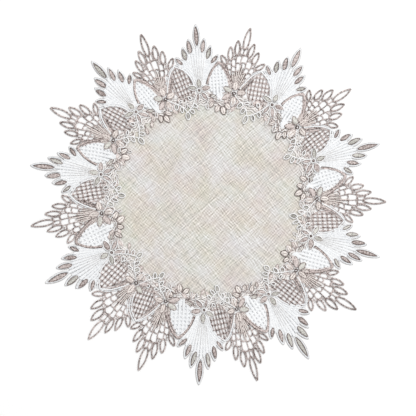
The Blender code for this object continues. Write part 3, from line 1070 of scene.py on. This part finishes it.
LATTICE_MIDDLE_X = 25.2
LATTICE_FOOT_Y = 110.5
LATTICE_APEX_Y = 151.5
LATTICE_HALF_WIDTH = 12.0
LATTICE_SHADES = (0.65, 0.85)
LATTICE_SLOPES = (0.0, 0.12)
HOLE_PITCH_X = 3.65
HOLE_PITCH_Y = 5.15
LATTICE_HEIGHTS = [y / 2 for y in range(221, 303)]
COLUMNS = range(-3, 3)
COLUMN_STEPS = 7
COLUMN_ERROR = 0.3
COLUMN_CORD = Cord(0.6, 0.75, None)
COLUMN_DEEPER = (0.15, 0.35)
ROWS_IN_LEAF = 8
ROW_FOOT_Y = 113.75
LEAST_ROW_REACH = 2.0
ROW_PAIR = (-0.55, 0.55)
ROW_CORD = Cord(0.4, 0.55, None)
ROW_PALER = (0.0, 0.3)
KNOT_CORD = Cord((0.4, 0.85, 0.4), 0.95, (-0.1, 0.3))
KNOT_HALF = 0.9
RIM_STEPS = 14
RIM_FOOT_Y = 113.0
RIM_CORD = Cord(0.55, 0.6, LATTICE_SHADES)


def lattice_reach(y):
    """Half the width of the lattice leaf at a height: round at the foot, pointed at the apex."""
    share = min(max((y - LATTICE_FOOT_Y) / (LATTICE_APEX_Y - LATTICE_FOOT_Y), 0.0), 1.0)
    return LATTICE_HALF_WIDTH * math.sin(math.pi * share**0.85) ** 0.7


rim_levels = [mix(LATTICE_APEX_Y, RIM_FOOT_Y, step / RIM_STEPS) for step in range(RIM_STEPS + 1)]
threads = []
knots = []
for index in OPEN_POINTS:
    shade = picked(LATTICE_SHADES)
    slope = hands.uniform(*LATTICE_SLOPES)
    for column in COLUMNS:
        x = LATTICE_MIDDLE_X + (column + 0.5) * HOLE_PITCH_X
        inside = [y for y in LATTICE_HEIGHTS if lattice_reach(y) > abs(x - LATTICE_MIDDLE_X)]
        places = []
        for step in range(COLUMN_STEPS + 1):
            places.append((x + error(COLUMN_ERROR), mix(inside[0], inside[-1], step / COLUMN_STEPS)))
        threads.append(cord_on(index, places, COLUMN_CORD, shade - hands.uniform(*COLUMN_DEEPER)))
    for row in range(ROWS_IN_LEAF):
        y = ROW_FOOT_Y + row * HOLE_PITCH_Y
        reach = lattice_reach(y)
        if reach < LEAST_ROW_REACH:
            continue
        for half in ROW_PAIR:
            across = (-reach, 0, reach)
            places = [(LATTICE_MIDDLE_X + x, y + half + slope * x) for x in across]
            threads.append(cord_on(index, places, ROW_CORD, shade + hands.uniform(*ROW_PALER)))
        for column in COLUMNS:
            x = (column + 0.5) * HOLE_PITCH_X
            if abs(x) < reach:
                x_knot = LATTICE_MIDDLE_X + x + error(COLUMN_ERROR)
                knot = [(x_knot, y + slope * x + step * KNOT_HALF) for step in (-1, 0, 1)]
                knots.append(cord_on(index, knot, KNOT_CORD))
    for side in (1, -1):
        rim = [(LATTICE_MIDDLE_X + side * lattice_reach(y), y) for y in rim_levels]
        threads.append(cord_on(index, rim, RIM_CORD, shade))
work_cords("lattice_leaves", threads, TAUPE_COTTON, stitch=1.0)
work_cords("lattice_knots", knots, TAUPE_COTTON, stitch=0.9)

# --- White edges of the lattice leaves --------------------------------------------------------------
# White cords follow both sides of each lattice leaf, three on the side of the next point and two on
# the side of its own, where taupe cords fill the space between leaf and edge.

NEAR_EDGE = ((-28.0, 152.0), (-21.5, 149.5), (-15.5, 146.0), (-10.5, 140.0), (-7.5, 134.5), (-6.0, 129.5))
NEAR_CORDS = (Cord(0.85, 0.8, 0.9), Cord(0.6, 0.8, 0.9), Cord(0.5, 0.8, 0.9))
NEAR_PITCH = 1.7
FAR_EDGE = ((-28.0, 151.5), (-32.0, 145.0), (-34.4, 138.0), (-36.0, 130.0), (-36.8, 122.5))
FAR_CORDS = (Cord(0.9, 0.8, 0.9), Cord(0.6, 0.7, 0.8))
FAR_PITCH = -1.8
FAR_FILL = ((-31.8, 141.0), (-33.2, 134.0), (-33.8, 127.0), (-33.6, 120.0))
FAR_FILL_CORD = Cord(0.9, 0.6, (0.3, 0.8))
FAR_FILL_SHIFTS = (0.0, 1.9)
threads = []
taupe = []
for index in OPEN_POINTS:
    after = index + 1
    for step, cord in enumerate(NEAR_CORDS):
        places = [(x + NEAR_PITCH * step, y + NEAR_PITCH * step) for x, y in NEAR_EDGE]
        threads.append(cord_on(after, places, cord))
    for step, cord in enumerate(FAR_CORDS):
        threads.append(cord_on(after, [(x + FAR_PITCH * step, y) for x, y in FAR_EDGE], cord))
    for shift in FAR_FILL_SHIFTS:
        taupe.append(cord_on(after, [(x + shift, y - shift) for x, y in FAR_FILL], FAR_FILL_CORD))
work_cords("white_lattice_edges", threads, WHITE_COTTON)
work_cords("taupe_lattice_edges", taupe, TAUPE_COTTON)

# --- Seam band --------------------------------------------------------------------------------------
# Rounds of grey-white thread fill the feet of the points and cover the linen's cut edge, which is
# stitched down under them.

ROUNDS = (108.0, 110.4, 112.8, 115.2, 117.6, 120.0)
WAVES_IN_PITCH = 10
WAVE_HEIGHT = 0.8
WAVE_ERROR = 0.3
ROUND_HALF_WIDTHS = (0.7, 1.3)
ROUND_LIFT = 0.3
ROUND_SHADES = (0.7, 1.1)
# Cotton and rayon ends worked over each other: grey in patches, with little shine
SEAM_COTTON = thread_material(
    "grey_white_seam_thread", linear("ada09a"), linear("fbf7f4"), roughness=0.65, mottle=0.6
)
threads = []
for radius in ROUNDS:
    points = []
    for step in range(len(POINTS) * WAVES_IN_PITCH):
        reach = radius + WAVE_HEIGHT * (-1) ** step + error(WAVE_ERROR)
        width = hands.uniform(*ROUND_HALF_WIDTHS)
        points.append((*lay(step / WAVES_IN_PITCH, reach), bed(reach) + ROUND_LIFT, width))
    threads.append(Thread(points, picked(ROUND_SHADES), True))
work_cords("seam_band", threads, SEAM_COTTON, stitch=1.1, flatness=0.3)

# --- Flowers of the solid points --------------------------------------------------------------------
# A five-petalled flower covers the foot of each solid point: taupe and grey-green satin edged in
# white cord, round a dark knot in a white ring.

SOLID_FLOWER = (
    (Leaf(0.0, 127.0, -0.4, 137.4, 7.8), "green"),
    (Leaf(2.3, 124.8, 13.8, 125.6, 8.0), "taupe"),
    (Leaf(1.4, 121.2, 9.4, 111.3, 6.6), "taupe"),
    (Leaf(-2.8, 125.4, -13.4, 128.0, 7.0), "green"),
    (Leaf(-1.6, 121.0, -4.0, 110.2, 5.6), "taupe"),
)
SOLID_FLOWER_SLIP = 0.6
FLOWER_LIFT = 1.2
FILL_BELOW = 0.15  # how far the filling of a leaf lies below the cord round it
SOLID_FLOWER_FILL = Fill(0.5, FLOWER_LIFT - FILL_BELOW, (0.5, 0.85))
SOLID_FLOWER_CORD = Cord(0.65, FLOWER_LIFT, (1.0, 1.4))
SOLID_FLOWER_LINE = Fill(1.0, FLOWER_LIFT + 0.2, (0.1, 0.6))
SOLID_FLOWER_RING = Cord(0.6, FLOWER_LIFT + 0.1, 0.9)
SOLID_RING = (-0.5, 123.5, 2.2, 2.2)  # its middle, and half its size across and along
FLOWER_KNOT = ((-1.7, 123.0), (-0.5, 123.5), (0.7, 124.0))
FLOWER_KNOT_CORD = Cord((0.8, 1.6, 0.8), FLOWER_LIFT, 0.2)
INNER_LINE_HALF_WIDTH = 0.38
SATIN = {"stitch": 0.5, "flatness": 0.15, "ridge": 0.02, "sides": 8}
FINE_LINE = {"stitch": 1.2, "flatness": 0.8, "sides": 4}


def inner_shade_line(index, leaf, line):
    """A thin line inside the cord round a leaf, which paints the shade between the cord and the satin."""
    inner = leaf._replace(width=leaf.width - 2 * line.inset)
    return leaf_edge(index, inner, Cord(INNER_LINE_HALF_WIDTH, line.lift, line.shades))


def ring_places(x, y, half_x, half_y):
    """Eight places round the middle of a flower."""
    turns = [number * math.tau / 8 for number in range(8)]
    return [(x + half_x * math.sin(turn), y + half_y * math.cos(turn)) for turn in turns]


taupe = []
green = []
edges = []
inner_shade_lines = []
knots = []
for index in SOLID_POINTS:
    for leaf, colour in SOLID_FLOWER:
        shape = worked(leaf, SOLID_FLOWER_SLIP)
        (green if colour == "green" else taupe).append(leaf_fill(index, shape, SOLID_FLOWER_FILL))
        edges.append(leaf_edge(index, shape, SOLID_FLOWER_CORD))
        inner_shade_lines.append(inner_shade_line(index, shape, SOLID_FLOWER_LINE))
    ring = ring_places(*SOLID_RING)
    edges.append(cord_on(index, ring, SOLID_FLOWER_RING, closed=True))
    knots.append(cord_on(index, FLOWER_KNOT, FLOWER_KNOT_CORD))
work_cords("solid_flower_petals", taupe, TAUPE_RAYON, **SATIN)
work_cords("solid_flower_green_petals", green, GREY_GREEN_RAYON, **SATIN)
work_cords("solid_flower_cords", edges, EDGE_AND_SHADOW_COTTON)
work_cords("solid_flower_painted_shade_lines", inner_shade_lines, TAUPE_COTTON, **FINE_LINE)
work_cords("flower_knots", knots, TAUPE_COTTON)

# --- Flowers of the open points ---------------------------------------------------------------------
# The same flower in beige satin, with one grey-green and one taupe petal. It is edged and veined in
# taupe cord, round a dark ring.

OPEN_FLOWER = (
    (Leaf(0.0, 125.2, -0.2, 136.4, 7.0), 0.95),
    (Leaf(3.0, 123.3, 12.6, 124.4, 7.2), 0.95),
    (Leaf(1.2, 119.2, 1.6, 108.4, 7.4), 0.85),
)
OPEN_FLOWER_SLIP = 0.5
OPEN_FLOWER_DEEPER = (0, 0.3)
OPEN_FLOWER_FILL = Fill(0.5, FLOWER_LIFT - FILL_BELOW, None)
OPEN_FLOWER_CORD = Cord(0.45, FLOWER_LIFT, (0.3, 0.8))
OPEN_FLOWER_VEIN = Cord(0.35, FLOWER_LIFT + 0.2, (0.0, 0.6))
OPEN_FLOWER_VEIN_SHARES = (0.15, 0.4, 0.7)
GREEN_PETAL = Leaf(-2.4, 124.0, -13.4, 126.4, 7.2)
GREEN_PETAL_FILL = Fill(0.5, FLOWER_LIFT - FILL_BELOW, 0.8)
TAUPE_PETAL = Leaf(-2.6, 120.6, -12.0, 112.8, 6.6)
TAUPE_PETAL_FILL = Fill(0.4, FLOWER_LIFT - FILL_BELOW, 0.9)
DYED_PETAL_CORD = Cord(0.45, FLOWER_LIFT, 0.5)
OPEN_FLOWER_RING = Cord(0.65, FLOWER_LIFT + 0.1, -0.3)
OPEN_RING = (0.3, 122.0, 1.7, 1.4)
beige = []
green = []
taupe = []
edges = []
for index in OPEN_POINTS:
    for leaf, shade in OPEN_FLOWER:
        shape = worked(leaf, OPEN_FLOWER_SLIP)
        petal_shade = shade - hands.uniform(*OPEN_FLOWER_DEEPER)
        beige.append(leaf_fill(index, shape, OPEN_FLOWER_FILL, petal_shade))
        edges.append(leaf_edge(index, shape, OPEN_FLOWER_CORD))
        vein = [leaf_place(shape, along) for along in OPEN_FLOWER_VEIN_SHARES]
        edges.append(cord_on(index, vein, OPEN_FLOWER_VEIN))
    for leaf, colour, fill in (
        (GREEN_PETAL, green, GREEN_PETAL_FILL),
        (TAUPE_PETAL, taupe, TAUPE_PETAL_FILL),
    ):
        shape = worked(leaf, OPEN_FLOWER_SLIP)
        colour.append(leaf_fill(index, shape, fill))
        edges.append(leaf_edge(index, shape, DYED_PETAL_CORD))
    ring = ring_places(*OPEN_RING)
    edges.append(cord_on(index, ring, OPEN_FLOWER_RING, closed=True))
work_cords("open_flower_petals", beige, BEIGE_RAYON, **SATIN)
work_cords("open_flower_green_petals", green, GREY_GREEN_RAYON, **SATIN)
work_cords("open_flower_taupe_petals", taupe, TAUPE_RAYON, **SATIN)
work_cords("open_flower_cords", edges, TAUPE_COTTON)

# --- White sprays -----------------------------------------------------------------------------------
# Under each lattice leaf a spray of grey-green satin leaves hangs onto the linen. Its stems and the cords
# round its leaves are white, and a taupe line inside each cord paints the shade between cord and satin.

WHITE_STEMS = (
    ((-40.0, 116.0), (-33.0, 112.0), (-26.0, 109.5), (-20.0, 106.0), (-16.0, 101.0)),
    ((-3.0, 120.0), (-6.5, 113.0), (-10.0, 106.5), (-15.0, 100.5)),
)
WHITE_SPRAY = (
    Leaf(-27.0, 111.0, -28.2, 102.8, 5.6),
    Leaf(-21.5, 107.5, -21.6, 99.2, 4.8),
    Leaf(-16.0, 100.8, -14.6, 91.6, 5.8),
    Leaf(-12.6, 104.0, -7.2, 98.4, 4.8),
    Leaf(-9.0, 109.0, -3.4, 105.2, 4.4),
    Leaf(-24.5, 110.5, -19.6, 114.2, 3.6),
    Leaf(-10.0, 113.6, -13.6, 118.0, 4.4),
    Leaf(-35.0, 110.0, -34.6, 101.6, 5.2),
)
SPRAY_SLIP = 0.7
WHITE_STEM_CORD = Cord(0.65, 1.1, 0.95)
WHITE_SPRAY_FILL = Fill(0.5, 0.6, (0.4, 0.8))
WHITE_SPRAY_CORD = Cord(0.65, 1.1, (1.1, 1.5))
WHITE_SPRAY_LINE = Fill(0.95, 1.1, (-0.4, 0.2))
green = []
edges = []
inner_shade_lines = []
for index in OPEN_POINTS:
    after = index + 1
    edges += [cord_on(after, stem, WHITE_STEM_CORD) for stem in WHITE_STEMS]
    for leaf in WHITE_SPRAY:
        shape = worked(leaf, SPRAY_SLIP)
        green.append(leaf_fill(after, shape, WHITE_SPRAY_FILL))
        edges.append(leaf_edge(after, shape, WHITE_SPRAY_CORD))
        inner_shade_lines.append(inner_shade_line(after, shape, WHITE_SPRAY_LINE))
work_cords("white_spray_leaves", green, GREY_GREEN_RAYON, **SATIN)
work_cords("white_spray_cords", edges, EDGE_AND_SHADOW_COTTON)
work_cords("white_spray_painted_shade_lines", inner_shade_lines, TAUPE_COTTON, **FINE_LINE)

# --- Brown sprays -----------------------------------------------------------------------------------
# Under each white leaf the spray is in beige and grey-green satin, and its stems, veins and the cords
# round its leaves are taupe.

BROWN_STEMS = (
    ((10.0, 118.5), (15.5, 111.5), (20.0, 107.0), (24.5, 102.5)),
    ((38.0, 119.0), (33.5, 115.0), (30.0, 111.0), (25.5, 103.0)),
)
BROWN_SPRAY = (
    (Leaf(11.0, 118.0, 20.5, 113.2, 4.8), "green"),
    (Leaf(36.0, 117.0, 24.5, 114.2, 5.2), "green"),
    (Leaf(16.0, 110.2, 9.2, 104.0, 5.8), "beige"),
    (Leaf(21.4, 105.4, 16.8, 98.2, 6.2), "beige"),
    (Leaf(25.4, 103.2, 26.6, 93.2, 7.2), "beige"),
    (Leaf(28.8, 105.4, 34.8, 98.2, 6.2), "beige"),
    (Leaf(33.2, 109.4, 40.0, 101.6, 6.8), "beige"),
)
BROWN_STEM_CORD = Cord(0.5, 0.75, 0.4)
BROWN_SPRAY_FILL = Fill(0.5, 0.6, (0.9, 1.4))
BROWN_SPRAY_CORD = Cord(0.45, 0.85, (0.0, 0.6))
BROWN_SPRAY_VEIN = Cord(0.3, 1.0, (0.0, 0.5))
BROWN_SPRAY_VEIN_SHARES = (0.1, 0.4, 0.75)
beige = []
green = []
edges = []
for index in SOLID_POINTS:
    edges += [cord_on(index, stem, BROWN_STEM_CORD) for stem in BROWN_STEMS]
    for leaf, colour in BROWN_SPRAY:
        shape = worked(leaf, SPRAY_SLIP)
        (green if colour == "green" else beige).append(leaf_fill(index, shape, BROWN_SPRAY_FILL))
        edges.append(leaf_edge(index, shape, BROWN_SPRAY_CORD))
        vein = [leaf_place(shape, along) for along in BROWN_SPRAY_VEIN_SHARES]
        edges.append(cord_on(index, vein, BROWN_SPRAY_VEIN))
work_cords("brown_spray_leaves", beige, BEIGE_RAYON, **SATIN)
work_cords("brown_spray_green_leaves", green, GREY_GREEN_RAYON, **SATIN)
work_cords("brown_spray_cords", edges, TAUPE_COTTON)

# --- Small leaves over the seam ---------------------------------------------------------------------
# Small leaves on curled stems fill what the flowers and sprays leave open. Half of them are edged in
# white, half in taupe, and no two lie alike.

SMALL_IN_POINT = 9
SMALL_PLACES = (0.1, 0.9)  # where one may start in its share of the point
SMALL_LENGTHS = (5.5, 8.0)
SMALL_WIDTHS = (3.2, 4.4)
SMALL_LIFTS = (0.6, 1.0)
SMALL_TURN = 1.3  # most that one is turned from the point's axis, in radians
SMALL_INNER_Y = 103.0
SMALL_OUTER_Y = 121.0
HALF_PITCH_X = 19.0
WHITE_SHARE = 0.5
SMALL_FILL = Fill(0.5, None, (0.6, 1.1))
SMALL_CORD = Cord(0.5, None, (0.5, 1.2))
SMALL_LINE = Fill(0.8, None, (0.2, 0.8))
CURL_CORD = Cord(0.5, None, (0.3, 1.1))
# Places on a curled stem: how far it runs back from the leaf, and how far to the right
CURL = ((0.0, 0.0), (1.6, 0.8), (3.2, -0.6))
SMALL_SATIN = {**SATIN, "stitch": 0.7}
beige = []
green = []
white_edges = []
taupe_edges = []
inner_shade_lines = []
for index in range(len(POINTS)):
    for number in range(SMALL_IN_POINT):
        x = mix(-HALF_PITCH_X, HALF_PITCH_X, (number + hands.uniform(*SMALL_PLACES)) / SMALL_IN_POINT)
        y = hands.uniform(SMALL_INNER_Y, SMALL_OUTER_Y)
        length = hands.uniform(*SMALL_LENGTHS)
        turn = error(SMALL_TURN)
        tip_x = x + length * math.sin(turn)
        tip_y = y - length * math.cos(turn)
        leaf = Leaf(x, y, tip_x, tip_y, hands.uniform(*SMALL_WIDTHS))
        lift = hands.uniform(*SMALL_LIFTS)
        white = hands.random() < WHITE_SHARE
        fill = leaf_fill(index, leaf, SMALL_FILL._replace(lift=lift - FILL_BELOW))
        (green if white else beige).append(fill)
        edges = white_edges if white else taupe_edges
        edges.append(leaf_edge(index, leaf, SMALL_CORD._replace(lift=lift)))
        if white:
            inner_shade_lines.append(inner_shade_line(index, leaf, SMALL_LINE._replace(lift=lift)))
        curl = [(x - back * math.sin(turn) + right, y + back * math.cos(turn)) for back, right in CURL]
        edges.append(cord_on(index, curl, CURL_CORD._replace(lift=lift)))
work_cords("small_beige_leaves", beige, BEIGE_RAYON, **SMALL_SATIN)
work_cords("small_green_leaves", green, GREY_GREEN_RAYON, **SMALL_SATIN)
work_cords("small_white_cords", white_edges, EDGE_AND_SHADOW_COTTON)
work_cords("small_painted_shade_lines", inner_shade_lines, TAUPE_COTTON, **FINE_LINE)
work_cords("small_taupe_cords", taupe_edges, TAUPE_COTTON)

# --- Pieces besides the linen -----------------------------------------------------------------------
# The linen is the one sheet of cloth, cut to a round and laid flat. The lace is no cloth; it is stitched
# to the linen's edge. The line below only lists the shown pieces other than the linen, and does nothing
# with the list.

[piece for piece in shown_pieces() if piece.name != "linen_panel" and piece.visible_get()]
